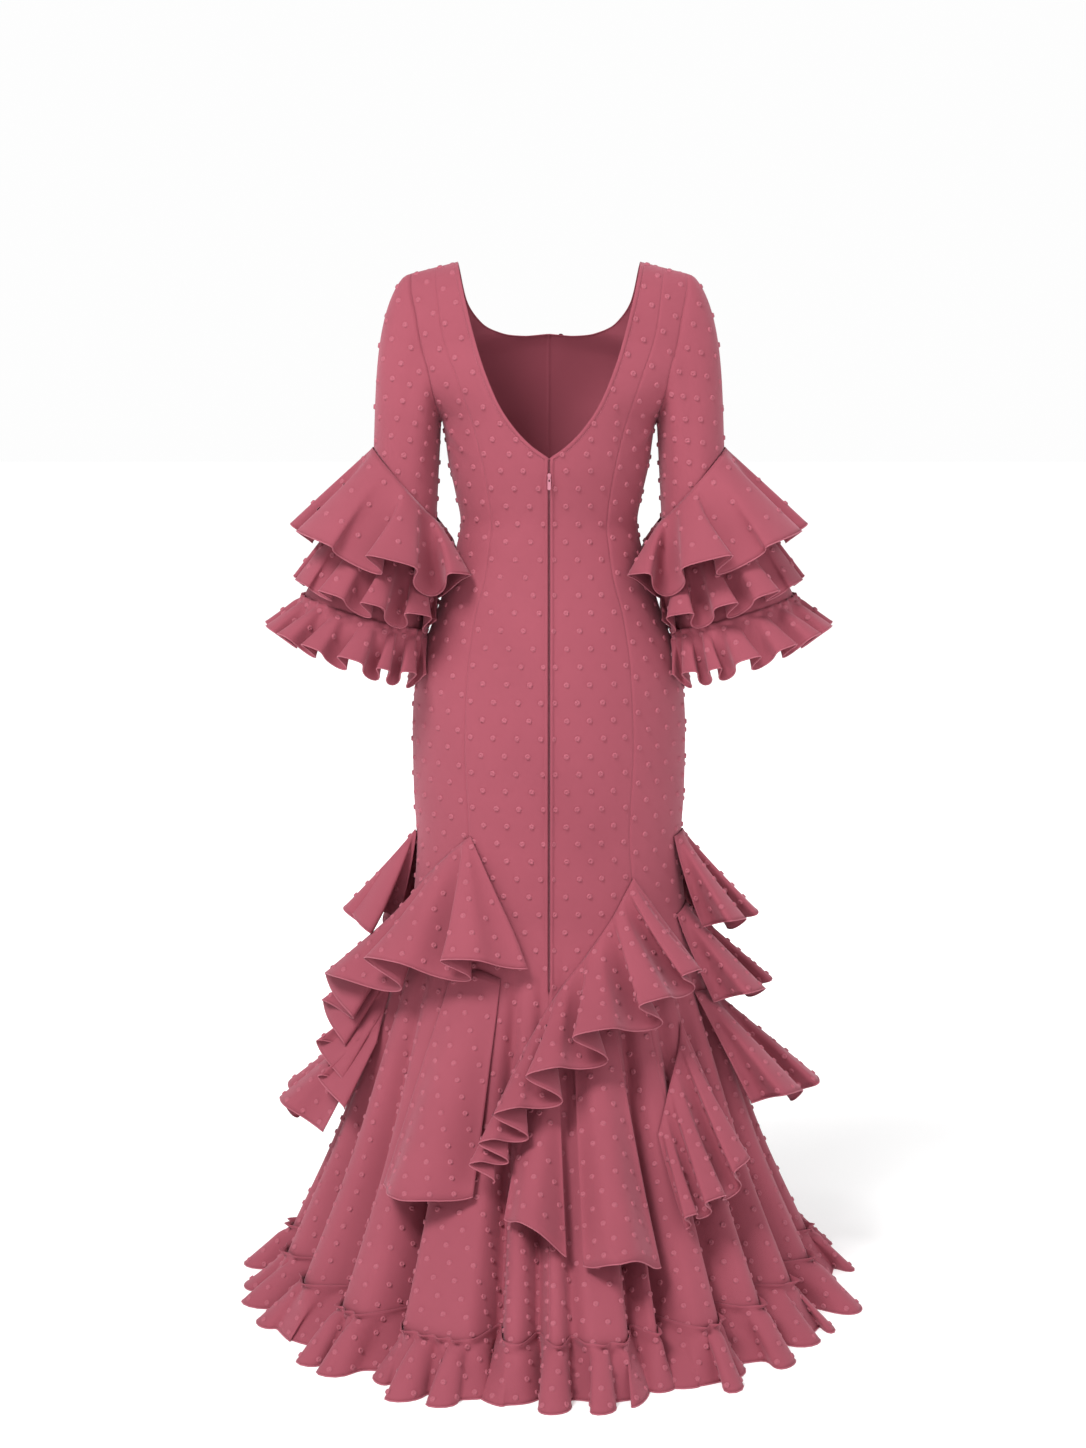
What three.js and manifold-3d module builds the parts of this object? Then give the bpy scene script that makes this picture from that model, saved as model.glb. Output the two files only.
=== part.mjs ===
// A flamenco dress, worn and held up at the shoulders: princess-seamed V-back bodice, bell sleeves
// with three tiers each, cascading ruffles over a flared skirt, and a gathered flounce at the hem.
//
// Millimetres, +Z up. The origin is the middle of the shoulder line. The centre back, with its zip,
// faces -Y. Around the body the angle "turn" is 0 at centre back and 90 degrees at +X.

import * as THREE from 'three';
import Module from 'manifold-3d';
import { mergeVertices } from 'three/addons/utils/BufferGeometryUtils.js';

const CLOTH = 1.5;            // wall of the crepe, every piece
const SEAM = 0.3;             // gap left between two pieces that are sewn together
const LIFT = CLOTH + SEAM;    // how far a piece laid on another is moved out
const RAD = Math.PI / 180;

const SHOULDER_TOP = 8;       // the shoulder line at the neck
const SHOULDER_SLOPE = 0.25;  // fall of the shoulder line, per mm outwards
const NECK_X = 128;           // half the neck opening, at the shoulder
const YOKE_Z = -97;           // height where the shoulders begin to round over
const ARMPIT_Z = -211;
const V_BOTTOM = -263;        // lowest point of the back neckline
const SCOOP_BOTTOM = -120;    // lowest point of the front neckline
const BINDING_WIDTH = 5;
const BINDING_LIFT = 2.4;     // binding to panel, middle to middle, over the rounded edge
const ZIP_END = -999;
const FOLD_START = -940;      // the skirt is smooth above this height
const GATHER_Z = -1405;       // where the hem flounce is sewn on
const FLOOR_Z = -1465;

// The smooth body of the dress: half width, depth behind and depth in front, by height.
const FIGURE = table(['z', 'half', 'back', 'front'], [
  [SHOULDER_TOP, 236, 84, 95],
  [YOKE_Z, 232, 84, 95],
  [-134, 221, 92, 112],
  [-164, 200, 97, 121],
  [-190, 170, 99, 125],
  [ARMPIT_Z, 151, 100, 126],
  [-274, 141, 97, 121],
  [-315, 132, 91, 108],
  [-355, 125, 86, 99],
  [-394, 132, 92, 103],
  [-467, 154, 112, 111],
  [-586, 191, 132, 113],
  [-651, 195, 134, 112],
  [-732, 194, 130, 112],
  [-816, 190, 124, 114],
  [-900, 196, 128, 122],
  [-1000, 222, 156, 150],
  [-1100, 258, 203, 192],
  [-1250, 313, 305, 272],
  [GATHER_Z, 384, 462, 382],
  [FLOOR_Z, 412, 512, 412],
]);

// Distance from the centre line of the back princess seams, the armholes and both necklines.
const PRINCESS = table(['z', 'x'], [
  [SHOULDER_TOP, 160], [-85, 148], [-158, 126], [-225, 104], [-297, 88], [-355, 81], [-425, 89],
  [-485, 104], [-560, 114], [-665, 118], [-787, 113], [-850, 117], [-1000, 132], [GATHER_Z, 232],
]);
const ARMHOLE = table(['z', 'x'], [
  [SHOULDER_TOP, 192], [-9, 192], [-50, 185], [YOKE_Z, 177], [-134, 168], [-164, 163],
  [-190, 158], [ARMPIT_Z, 151],
]);
const BACK_NECK = table(['z', 'x'], [
  [SHOULDER_TOP, NECK_X], [-50, 116], [-126, 97], [-180, 75], [-221, 48], [-245, 25], [V_BOTTOM, 0],
]);
const FRONT_NECK = table(['z', 'x'], [
  [SHOULDER_TOP, NECK_X], [-45, 118], [-84, 96], [-106, 66], [-116, 34], [SCOOP_BOTTOM, 0],
]);

// The valleys between the organ folds of the skirt: where each stands, half its width in degrees,
// and its depth at the gathering line. The ridges between them are the smooth body.
const VALLEYS = table(['turn', 'width', 'depth'], [
    [-54, 3.6, 70], [-36, 3.0, 92], [-12.2, 2.4, 70], [-2.7, 2.1, 52], [5.0, 1.9, 34], [19, 2.2, 58],
    [26.5, 2.6, 86], [41.6, 3.0, 64], [55, 3.4, 70], [69, 3.6, 60], [85, 4, 70], [102, 3.8, 60],
    [119, 4, 74], [137, 3.8, 60], [153, 4, 70], [170, 3.8, 60], [188, 4, 72], [204, 3.8, 58],
    [221, 4, 72], [238, 3.8, 60], [255, 4, 72], [272, 3.8, 62], [289, 3.8, 68],
]);

// Skirt ruffles. Each row of an edge is a place along the sewn line from 0 to 1: the turn and height
// there, the fall to the hem, the swing of the hem round the body and how far the hem stands out.
// Folds go along the edge: each one's share of its length and its depth at the hem.
const EDGE_COLUMNS = ['at', 'turn', 'z', 'fall', 'swing', 'out'];
const RUFFLES = [
  { name: 'long_panel_left', lean: 0.1, late: 1.4,
    folds: [
      [1, 46]],
    edge: [
      [0, -39, -985, 254, -28, 14], [0.5, -28, -975, 288, -18, 20], [1, -18, -985, 250, -4, 14]] },
  { name: 'long_panel_middle', lean: 0.2, late: 1.5,
    folds: [
      [1, 44]],
    edge: [
      [0, -7, -1146, 112, -24, 10], [0.5, -2, -1100, 178, -8, 16], [1, 3, -1060, 236, 0, 10]] },
  { name: 'long_panel_right', lean: 0.1, late: 1.4,
    folds: [
      [1, 58]],
    edge: [
      [0, 8, -1050, 250, -8, 14], [0.5, 14, -1030, 288, 0, 22], [1, 22, -1020, 290, 10, 14]] },
  { name: 'cascade_left', lean: 0.9, late: 1,
    folds: [
      [0.16, 44], [0.2, 52], [0.2, 54], [0.17, 46], [0.15, 40], [0.12, 34]],
    edge: [
      [0, -35, -790, 162, 72, 22], [0.14, -41, -803, 164, 26, 34], [0.3, -55, -836, 142, 0, 40],
      [0.5, -76, -888, 146, -14, 44], [0.64, -82, -948, 116, -10, 42],
      [0.8, -79, -1018, 96, -4, 36], [1, -72, -1098, 74, 6, 26]] },
  { name: 'cascade_centre', lean: 0.9, late: 1,
    folds: [
      [0.15, 44], [0.16, 50], [0.2, 54], [0.17, 50], [0.14, 44], [0.1, 36], [0.08, 30]],
    edge: [
      [0, 38, -850, 124, 66, 26], [0.12, 34, -868, 122, 44, 36], [0.26, 27, -902, 118, 16, 42],
      [0.45, 14, -955, 100, -6, 46], [0.62, 3, -1002, 98, -10, 44], [0.8, -8, -1075, 82, -4, 40],
      [1, -16, -1156, 62, 2, 32]] },
  { name: 'cascade_right', lean: 0.6, late: 1.1,
    folds: [
      [0.45, 44], [0.33, 40], [0.22, 30]],
    edge: [
      [0, 50, -1052, 160, 12, 20], [0.35, 46, -1082, 164, -2, 28], [0.7, 38, -1132, 134, -12, 30],
      [1, 31, -1186, 96, -8, 22]] },
  { name: 'front_ruffle_upper', lean: 0.6, late: 1,
    folds: [
      [0.09, 44], [0.11, 50], [0.1, 42], [0.12, 50], [0.09, 40], [0.11, 48], [0.1, 44], [0.09, 40],
      [0.1, 48], [0.09, 44]],
    edge: [
      [0, 68, -800, 118, 0, 27], [0.08, 84, -796, 136, 4, 52], [0.5, 180, -850, 130, 0, 48],
      [0.92, 276, -796, 134, -4, 52], [1, 279, -800, 116, -38, 14]] },
  { name: 'front_ruffle_middle', lean: 0.6, late: 1,
    folds: [
      [0.1, 44], [0.12, 48], [0.11, 42], [0.12, 48], [0.1, 42], [0.12, 46], [0.11, 42], [0.12, 46],
      [0.1, 38]],
    edge: [
      [0, 66, -912, 112, 0, 14], [0.08, 84, -903, 130, 4, 48], [0.5, 175, -955, 126, 0, 44],
      [1, 262, -925, 118, 6, 38]] },
  { name: 'front_ruffle_lower', lean: 0.6, late: 1,
    folds: [
      [0.08, 46], [0.09, 52], [0.08, 44], [0.1, 50], [0.08, 42], [0.1, 50], [0.09, 44], [0.1, 48],
      [0.09, 44], [0.1, 52], [0.09, 46]],
    edge: [
      [0, 64, -1020, 140, 0, 26], [0.08, 82, -1028, 150, 6, 58], [0.5, 178, -1085, 134, 0, 46],
      [0.92, 266, -1072, 142, 0, 60], [1, 282, -1080, 130, 0, 30]] },
];
const RUFFLE_START = 5;       // sewn edge to the smooth body, clear of the panels' facets
const FOLD_SHARP = 1.35;      // over 1, valleys are narrower than ridges
const CURL = 0.14;            // how far a fold rolls under at its sides, as a share of its width
const FOLD_CELLS = 5;         // cells across one fold

const HEM_FOLDS = 43;         // gathers round the hem flounce
const HEM_FLARE = 52;         // how far its lower edge stands out from the skirt
const HEM_RIPPLE = 16;        // half the depth of its gathers at the floor
const HEM_LEAN = 0.9;         // sideways lean of its gathers, per mm of depth
const HEM_GAP = 1.6;          // from the skirt's lower edge to the middle of its top edge

// The bell under the sleeve tiers and the rings it passes through: centre, half width, half depth,
// height at the outer and the inner side. x counts outwards from the middle of the dress.
const RINGS = {
  elbow: { x: 201.5, y: 0, half: 43.5, deep: 62, outer: -250, inner: -357 },
  bell: { x: 263, y: -8, half: 86, deep: 92, outer: -463, inner: -516 },
  tier_1_hem: { x: 238, y: -10, half: 101, deep: 112, outer: -370, inner: -446 },
  tier_2_hem: { x: 258, y: -10, half: 86, deep: 94, outer: -437, inner: -500 },
  tier_3_hem: { x: 284, y: -12, half: 102, deep: 120, outer: -507, inner: -578 },
};
const TIERS = [
  { name: 'tier_1', top: 0, hem: 'tier_1_hem', lean: 0.4, sink: 0.2, clear: 10,
    folds: [
      [0.19, 26], [0.15, 46], [0.12, 50], [0.14, 40], [0.12, 36], [0.15, 46], [0.13, 36]] },
  { name: 'tier_2', top: 0.45, hem: 'tier_2_hem', lean: 0.4, sink: 0, clear: 14,
    folds: [
      [0.12, 14], [0.1, 26], [0.08, 34], [0.11, 34], [0.1, 28], [0.08, 24], [0.1, 26], [0.12, 28],
      [0.1, 28], [0.09, 16]] },
  { name: 'tier_3', top: 1, hem: 'tier_3_hem', lean: 0.4, sink: 0.5, clear: 5,
    folds: [
      [0.08, 26], [0.06, 32], [0.07, 28], [0.08, 32], [0.05, 26], [0.07, 32], [0.06, 28],
      [0.08, 30], [0.05, 26], [0.07, 32], [0.07, 28], [0.05, 30], [0.07, 28], [0.08, 32],
      [0.06, 28]] },
];

const COLOUR = { rose: 0xbe5c70, trim: 0xb85a6d, zip: 0xa55263, metal: 0xb9727f };

// ---------------------------------------------------------------- numbers

function table(columns, rows) {
  return rows.map((row) => Object.fromEntries(columns.map((name, i) => [name, row[i]])));
}

// The value of a column at a place between rows, on a curve that never overshoots.
function look(rows, key, at, column) {
  const rising = rows[1][key] > rows[0][key] ? 1 : -1;
  const slope = (i) => (rows[i + 1][column] - rows[i][column]) / (rows[i + 1][key] - rows[i][key]);
  const bend = (i) => {
    if (i === 0 || i === rows.length - 1) return slope(Math.min(i, rows.length - 2));
    const [before, after] = [slope(i - 1), slope(i)];
    return before * after <= 0 ? 0 : (2 * before * after) / (before + after);
  };
  let i = 0;
  while (i < rows.length - 2 && (at - rows[i + 1][key]) * rising > 0) i += 1;
  const span = rows[i + 1][key] - rows[i][key];
  const t = Math.min(1, Math.max(0, (at - rows[i][key]) / span));
  const [t2, t3] = [t * t, t * t * t];
  return rows[i][column] * (2 * t3 - 3 * t2 + 1) + bend(i) * span * (t3 - 2 * t2 + t)
    + rows[i + 1][column] * (3 * t2 - 2 * t3) + bend(i + 1) * span * (t3 - t2);
}

const mix = (a, b, t) => a + (b - a) * t;
const clamp = (v, low, high) => Math.min(high, Math.max(low, v));
const smooth = (t) => {
  const c = clamp(t, 0, 1);
  return c * c * (3 - 2 * c);
};

// ---------------------------------------------------------------- the body of the dress

// Half width and depth of the dress at a height, on the side that a turn faces.
function section(turn, z) {
  const behind = Math.cos(turn * RAD) > 0;
  const dome = z > YOKE_Z ? Math.sqrt(1 - ((z - YOKE_Z) / (SHOULDER_TOP - YOKE_Z)) ** 2) : 1;
  return { half: look(FIGURE, 'z', z, 'half'), deep: look(FIGURE, 'z', z, behind ? 'back' : 'front') * dome };
}

// How far the cloth lies inside the smooth body, in the valleys of the skirt.
function foldDepth(turn, z) {
  const grown = clamp((FOLD_START - z) / (FOLD_START - GATHER_Z), 0, 1.15) ** 1.25;
  return grown * VALLEYS.reduce((sum, valley) => {
    const away = ((turn - valley.turn + 540) % 360 + 360) % 360 - 180;
    return sum + valley.depth * Math.exp(-((away / valley.width) ** 2));
  }, 0);
}

// Where a run of uneven folds stands at u: its place along the edge, its depth, a wave that is -1 in
// a valley and 1 on a ridge, and the curl that rolls a fold's sides under it, as a share of the edge.
function folded(folds, u, ring = false) {
  const total = folds.reduce((sum, [share]) => sum + share, 0);
  const ends = [[0, 0]];
  folds.forEach(([share], i) => ends.push([i + 1, ends[i][1] + share / total]));
  const middles = folds.map((fold, i) => [i + 0.5, ...fold]);
  const [first, last] = [folds[0], folds[folds.length - 1]];
  const place = u * folds.length;
  const rows = [[-0.5, ...(ring ? last : first)], ...middles, [folds.length + 0.5, ...(ring ? first : last)]];
  const share = look(rows, 0, place, 1) / total;
  return {
    along: folds.length > 1 ? look(ends, 0, place, 1) : u,
    depth: look(rows, 0, place, 2),
    wave: 1 - 2 * (0.5 + 0.5 * Math.cos(2 * Math.PI * place)) ** FOLD_SHARP,
    curl: CURL * share * Math.sin(4 * Math.PI * place),
  };
}

// A point at a turn and a height, "out" mm outside the smooth body.
function onBody(turn, z, out = 0) {
  const { half, deep } = section(turn, z);
  const [s, c] = [Math.sin(turn * RAD), Math.cos(turn * RAD)];
  const [nx, ny] = [s * deep, -c * half];
  const length = Math.hypot(nx, ny) || 1;
  const x = half * s + (nx / length) * out;
  const droop = SHOULDER_SLOPE * (Math.abs(x) - NECK_X) * smooth((z - ARMPIT_Z) / (YOKE_Z - ARMPIT_Z));
  return new THREE.Vector3(x, -deep * c + (ny / length) * out, z - droop);
}

// The turn at which the back of the dress is x from the centre line.
function turnOf(x, z) {
  return Math.asin(clamp(x / look(FIGURE, 'z', z, 'half'), -1, 1)) / RAD;
}

// Radius of the dress at a turn, used to change a length round it into degrees.
function radius(turn, z) {
  const { half, deep } = section(turn, z);
  return Math.hypot(half * Math.cos(turn * RAD), deep * Math.sin(turn * RAD));
}

// ---------------------------------------------------------------- closed cloth from a grid

// A wall of cloth: rows of outside points and rows of inside points. Rows may differ in length.
// With "closed" each row is a ring.
function wall(outer, inner, closed = false) {
  const vertices = [];
  const index = [];
  const put = (rows) => rows.map((row) => row.map((p) => vertices.push(p.x, p.y, p.z) / 3 - 1));
  const [front, back] = [put(outer), put(inner)];
  const ring = (row) => (closed ? [...row, row[0]] : row);
  const strip = (a, b, flip) => {
    let [i, j] = [0, 0];
    while (i < a.length - 1 || j < b.length - 1) {
      const next = (i + 1) / (a.length - 1) <= (j + 1) / (b.length - 1) && i < a.length - 1;
      const tri = next || j >= b.length - 1 ? [a[i], b[j], a[++i]] : [a[i], b[j], b[++j]];
      index.push(...(flip ? [tri[0], tri[2], tri[1]] : tri));
    }
  };
  for (let r = 0; r < front.length - 1; r += 1) {
    strip(ring(front[r]), ring(front[r + 1]), false);
    strip(ring(back[r]), ring(back[r + 1]), true);
  }
  const last = front.length - 1;
  strip(ring(back[0]), ring(front[0]), false);
  strip(ring(front[last]), ring(back[last]), false);
  if (!closed) {
    strip(front.map((row) => row[0]), back.map((row) => row[0]), false);
    strip(back.map((row) => row[row.length - 1]), front.map((row) => row[row.length - 1]), false);
  }
  const geometry = new THREE.BufferGeometry();
  geometry.setAttribute('position', new THREE.Float32BufferAttribute(vertices, 3));
  geometry.setIndex(index);
  geometry.computeVertexNormals();
  return geometry;
}

// The outward normal of a surface point(u, v), found from its neighbours. u runs to +X at the
// back and v runs down.
function normalAt(point, u, v) {
  const step = 1e-3;
  const along = point(u + step, v).sub(point(u - step, v));
  const down = point(u, v + step).sub(point(u, v - step));
  return down.cross(along).normalize();
}

// Cloth on a surface: counts[r] cells across at each of the heights vs[r].
function cloth(point, vs, counts, closed = false) {
  const [outer, inner] = [[], []];
  vs.forEach((v, r) => {
    const columns = Array.from({ length: closed ? counts[r] : counts[r] + 1 }, (_, i) => i / counts[r]);
    const middle = columns.map((u) => point(u, v));
    const normals = columns.map((u) => normalAt(point, u, v));
    outer.push(middle.map((p, i) => p.clone().addScaledVector(normals[i], CLOTH / 2)));
    inner.push(middle.map((p, i) => p.clone().addScaledVector(normals[i], -CLOTH / 2)));
  });
  return wall(outer, inner, closed);
}

const steps = (n) => Array.from({ length: n + 1 }, (_, i) => i / n);

// ---------------------------------------------------------------- group and materials

const dress = new THREE.Group();
dress.name = 'flamenco_dress';

function add(name, geometry, colour = COLOUR.rose, roughness = 0.72, metalness = 0) {
  const material = new THREE.MeshStandardMaterial({ color: colour, roughness, metalness });
  const mesh = new THREE.Mesh(geometry, material);
  mesh.name = name;
  dress.add(mesh);
  return mesh;
}

// ---------------------------------------------------------------- princess panels

// Heights of the rows of a full-length panel; the first few round over the shoulder.
const SHOULDER_ROWS = [89.8, 70, 48, 24].map((a) => YOKE_Z + (SHOULDER_TOP - YOKE_Z) * Math.sin(a * RAD));
const PANEL_ROWS = [
  ...SHOULDER_ROWS, YOKE_Z, SCOOP_BOTTOM, -160, -190, ARMPIT_Z, -237, V_BOTTOM, -310, -355, -410, -480, -586,
  -700, -816, -880, -945, ZIP_END, -1040, -1110, -1210, -1310, GATHER_Z,
];
const FINE_BELOW = -1050;

// The lines that the panels are cut to, as turns on the +X half of the dress.
const LINES = {
  zip: (z) => turnOf(z > V_BOTTOM ? look(BACK_NECK, 'z', z, 'x') : 0, z),
  princess_back: (z) => turnOf(look(PRINCESS, 'z', z, 'x'), z),
  side_back: (z) => (z > ARMPIT_Z ? turnOf(look(ARMHOLE, 'z', z, 'x'), z) : 90),
  side_front: (z) => (z > ARMPIT_Z ? 180 - turnOf(look(ARMHOLE, 'z', z, 'x'), z) : 90),
  princess_front: (z) => 180 - turnOf(look(PRINCESS, 'z', z, 'x'), z),
  centre_front: (z) => 180 - turnOf(z > SCOOP_BOTTOM ? look(FRONT_NECK, 'z', z, 'x') : 0, z),
};

const panelHeight = (v) => {
  const place = clamp(v, 0, 1) * (PANEL_ROWS.length - 1);
  const i = Math.min(PANEL_ROWS.length - 2, Math.floor(place));
  return mix(PANEL_ROWS[i], PANEL_ROWS[i + 1], place - i);
};

// Half the gap at a seam, along the smooth body: wider where a fold's steep side crosses the seam.
const seamGap = (z) => (z < FOLD_START ? 0.4 : SEAM / 2);

// The surface of a panel between two lines, clear of its neighbours at both edges.
function panelAt(side, from, to, gapStart = seamGap) {
  return (u, v) => {
    const z = panelHeight(v);
    const [a, b] = [from(z), to(z)];
    const low = a + gapStart(z) / radius(a, z) / RAD;
    const high = b - seamGap(z) / radius(b, z) / RAD;
    const turn = mix(low, high, side > 0 ? u : 1 - u) * side;
    return onBody(turn, z, -foldDepth(turn, z));
  };
}

const COARSE = 3;             // cells across a panel where it is smooth
const FINE = 10;              // and where it hangs in folds
const panel = (point) => cloth(point, steps(PANEL_ROWS.length - 1),
  PANEL_ROWS.map((z) => (z < FINE_BELOW ? FINE : COARSE)));

// A narrow band laid along the neck edge of a panel, on the facets of its outermost column.
function binding(point, neckAtStart, bottom) {
  const rows = PANEL_ROWS.filter((z) => z >= bottom);
  const [outer, inner] = [[], []];
  rows.forEach((z, r) => {
    const v = r / (PANEL_ROWS.length - 1);
    const [start, end] = neckAtStart ? [0, 1 / COARSE] : [1, 1 - 1 / COARSE];
    const edge = point(start, v);
    const across = point(end, v).sub(edge).setLength(BINDING_WIDTH);
    const band = [edge, edge.clone().add(across)];
    if (!neckAtStart) band.reverse();
    const normal = normalAt(point, start, v);
    outer.push(band.map((p) => p.clone().addScaledVector(normal, BINDING_LIFT + CLOTH / 2)));
    inner.push(band.map((p) => p.clone().addScaledVector(normal, BINDING_LIFT - CLOTH / 2)));
  });
  return wall(outer, inner);
}

const COIL_HALF = 1.3;
for (const [word, side] of [['right', 1], ['left', -1]]) {
  const zipGap = (z) => (z < ZIP_END ? seamGap(z) : COIL_HALF + SEAM);
  const back = panelAt(side, LINES.zip, LINES.princess_back, zipGap);
  const front = panelAt(side, LINES.princess_front, LINES.centre_front);
  add(`centre_back_${word}`, panel(back));
  add(`side_back_${word}`, panel(panelAt(side, LINES.princess_back, LINES.side_back)));
  add(`side_front_${word}`, panel(panelAt(side, LINES.side_front, LINES.princess_front)));
  add(`centre_front_${word}`, panel(front));
  add(`neck_binding_back_${word}`, binding(back, side > 0, V_BOTTOM), COLOUR.trim);
  add(`neck_binding_front_${word}`, binding(front, side < 0, SCOOP_BOTTOM), COLOUR.trim);
}

// ---------------------------------------------------------------- sleeves

const CAP = 22;               // how far the sleeve head rounds out past a straight line
const SLEEVE_CLEAR = 2.2;     // sleeve head to armhole
const TIER_CLEAR = 4;         // tiers to the bell under them
const BELL_CLEAR = 18;        // bell to the body, with two tiers between them
// A point of a slanting ring: 0 at its outer side, a quarter turn at the back.
const ringPoint = (c, around) => new THREE.Vector3(
  c.x + c.half * Math.cos(around),
  c.y - c.deep * Math.sin(around),
  mix(c.outer, c.inner, (1 - Math.cos(around)) / 2),
);

// The armhole as a ring: 0 at the shoulder, a quarter turn at the back, half a turn at the armpit.
function armhole(around) {
  const z = mix(SHOULDER_TOP - 0.01, ARMPIT_Z, (1 - Math.cos(around)) / 2);
  const turn = turnOf(look(ARMHOLE, 'z', z, 'x'), z);
  return onBody(Math.sin(around) >= 0 ? turn : 180 - turn, z).add(new THREE.Vector3(SLEEVE_CLEAR, 0, 0));
}

function sleeveAt(around, t) {
  const p = armhole(around).lerp(ringPoint(RINGS.elbow, around), t);
  const outside = (1 + Math.cos(around)) / 2;
  const bulge = CAP * Math.sin(Math.PI * clamp(t, 0, 1) ** 0.62);
  p.x += bulge * outside;
  p.z += bulge * 0.3 * outside * (1 - t);
  return p;
}

// Keeps a sleeve piece clear of the body of the dress.
function pushOut(p, clear) {
  const turn = Math.atan2(p.x, -p.y) / RAD;
  const { half, deep } = section(turn, p.z);
  const ratio = Math.hypot(p.x / (half + clear), p.y / (deep + clear));
  if (ratio < 1) {
    p.x /= ratio;
    p.y /= ratio;
  }
  return p;
}

const bellAt = (around, t) => ringPoint(RINGS.elbow, around).lerp(ringPoint(RINGS.bell, around), t);

// A tier of the sleeve: from a ring of the bell out to its own hem, in leaning folds.
function tierAt(tier, u, v) {
  const hem = RINGS[tier.hem];
  const { along, depth, wave, curl } = folded(tier.folds, u, true);
  const hanging = clamp(v, 0, 1) ** 0.9;
  const swell = depth * hanging;
  const around = (along + 0.02 + curl * hanging) * 2 * Math.PI - (tier.lean * swell * wave) / (2 * hem.half);
  const p = bellAt(around, tier.top).lerp(ringPoint(hem, around), v);
  const ring = ringPoint(RINGS.bell, around);
  const outward = new THREE.Vector3(ring.x - RINGS.bell.x, ring.y - RINGS.bell.y, 0).normalize();
  p.addScaledVector(outward, LIFT + TIER_CLEAR + swell * ((1 + wave) / 2 - tier.sink));
  p.z += 0.36 * swell * wave;
  return pushOut(p, tier.clear);
}

// A surface of the +X sleeve, on either side of the dress. Its u turns so that normals point out.
const mirrored = (point, side) => (u, v) => {
  const p = point(side > 0 ? 1 - u : u, v);
  p.x *= side;
  return p;
};

const TURN = 2 * Math.PI;
for (const [word, side] of [['right', 1], ['left', -1]]) {
  const sleeve = mirrored((u, t) => sleeveAt(u * TURN, t), side);
  const bell = mirrored((u, t) => pushOut(bellAt(u * TURN, t), BELL_CLEAR), side);
  add(`sleeve_${word}`, cloth(sleeve, [0, 0.12, 0.3, 0.5, 0.75, 0.985], Array(6).fill(12), true));
  add(`sleeve_bell_${word}`, cloth(bell, [0.012, 0.985], Array(2).fill(16), true));
  for (const tier of TIERS) {
    const vs = [0.03, 0.5, 1];
    const point = mirrored((u, v) => tierAt(tier, u, v), side);
    add(`sleeve_${tier.name}_${word}`, cloth(point, vs, vs.map(() => tier.folds.length * FOLD_CELLS), true));
  }
}

// ---------------------------------------------------------------- skirt ruffles

// Length of the sewn edge, below 0 if it runs to -X. A ruffle of one fold hangs flat, with no curl.
function sewnLength({ edge, folds }) {
  if (folds.length === 1) return 0;
  const places = edge.map(([, turn, z]) => onBody(turn, z));
  const length = places.slice(1).reduce((sum, p, i) => sum + p.distanceTo(places[i]), 0);
  return Math.sign(edge[edge.length - 1][1] - edge[0][1]) * length;
}

function ruffleAt(ruffle, u, v) {
  const { along, depth, wave, curl } = folded(ruffle.folds, u);
  const value = (name) => look(ruffle.edge, 0, along, EDGE_COLUMNS.indexOf(name));
  const hanging = Math.max(v, 0) ** ruffle.late;
  const swell = depth * hanging;
  const z = value('z') - value('fall') * v + 0.3 * swell * wave;
  const rolled = curl * sewnLength(ruffle) * hanging;
  const aside = value('swing') * v - (ruffle.lean * swell * wave) / 2 + rolled;
  const turn = value('turn') + aside / radius(value('turn'), z) / RAD;
  return onBody(turn, z, RUFFLE_START + value('out') * hanging + (swell * (1 + wave)) / 2);
}

for (const ruffle of RUFFLES) {
  const rightwards = ruffle.edge[0][1] < ruffle.edge[1][1];
  const point = (u, v) => ruffleAt(ruffle, rightwards ? u : 1 - u, v);
  const long = ruffle.folds.length === 1;
  const cells = long ? 10 : ruffle.folds.length * FOLD_CELLS;
  add(ruffle.name, cloth(point, steps(long ? 4 : 2), Array(long ? 5 : 3).fill(cells)));
}

// ---------------------------------------------------------------- hem flounce

// How much the smooth body itself widens between the gathering line and the floor.
const widening = (turn) => onBody(turn, FLOOR_Z).setZ(0).length() - onBody(turn, GATHER_Z).setZ(0).length();

// Hangs from the lower edge of the skirt, follows its folds and stands out to the floor.
function flounceAt(around, v) {
  const uneven = around + 0.035 * Math.sin(5 * around) + 0.02 * Math.sin(13 * around + 1);
  const wave = 1 - 2 * (0.5 + 0.5 * Math.cos(HEM_FOLDS * uneven)) ** FOLD_SHARP;
  const size = 1 + 0.22 * Math.sin(7 * around + 2) + 0.12 * Math.sin(17 * around);
  const ripple = HEM_RIPPLE * size * clamp(v, 0, 1) ** 0.7 * wave;
  const turn = around / RAD - 180;
  const z = mix(GATHER_Z - HEM_GAP, FLOOR_Z + CLOTH, v);
  const inset = foldDepth(turn, GATHER_Z) * (1 - 0.35 * v);
  const lean = (HEM_LEAN * ripple) / radius(turn, FLOOR_Z) / RAD;
  return onBody(turn - lean, z, (HEM_FLARE - widening(turn)) * v - inset + ripple);
}

const flounceCells = [HEM_FOLDS * 4, HEM_FOLDS * 4];
add('hem_flounce', cloth((u, v) => flounceAt(u * TURN, v), [0, 1], flounceCells, true));

// ---------------------------------------------------------------- zip

const SLIDER = { z: -287, width: 5, height: 10, thick: 2.4, stand: 1.4 };
const BAIL = { width: 1.6, reach: 3.4, wall: 1, eye: 1.7, z: -290.2 };
const TAB = { width: 4.6, height: 16, thick: 1.1, slot: 2.4, bar: 1.1 };

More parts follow.
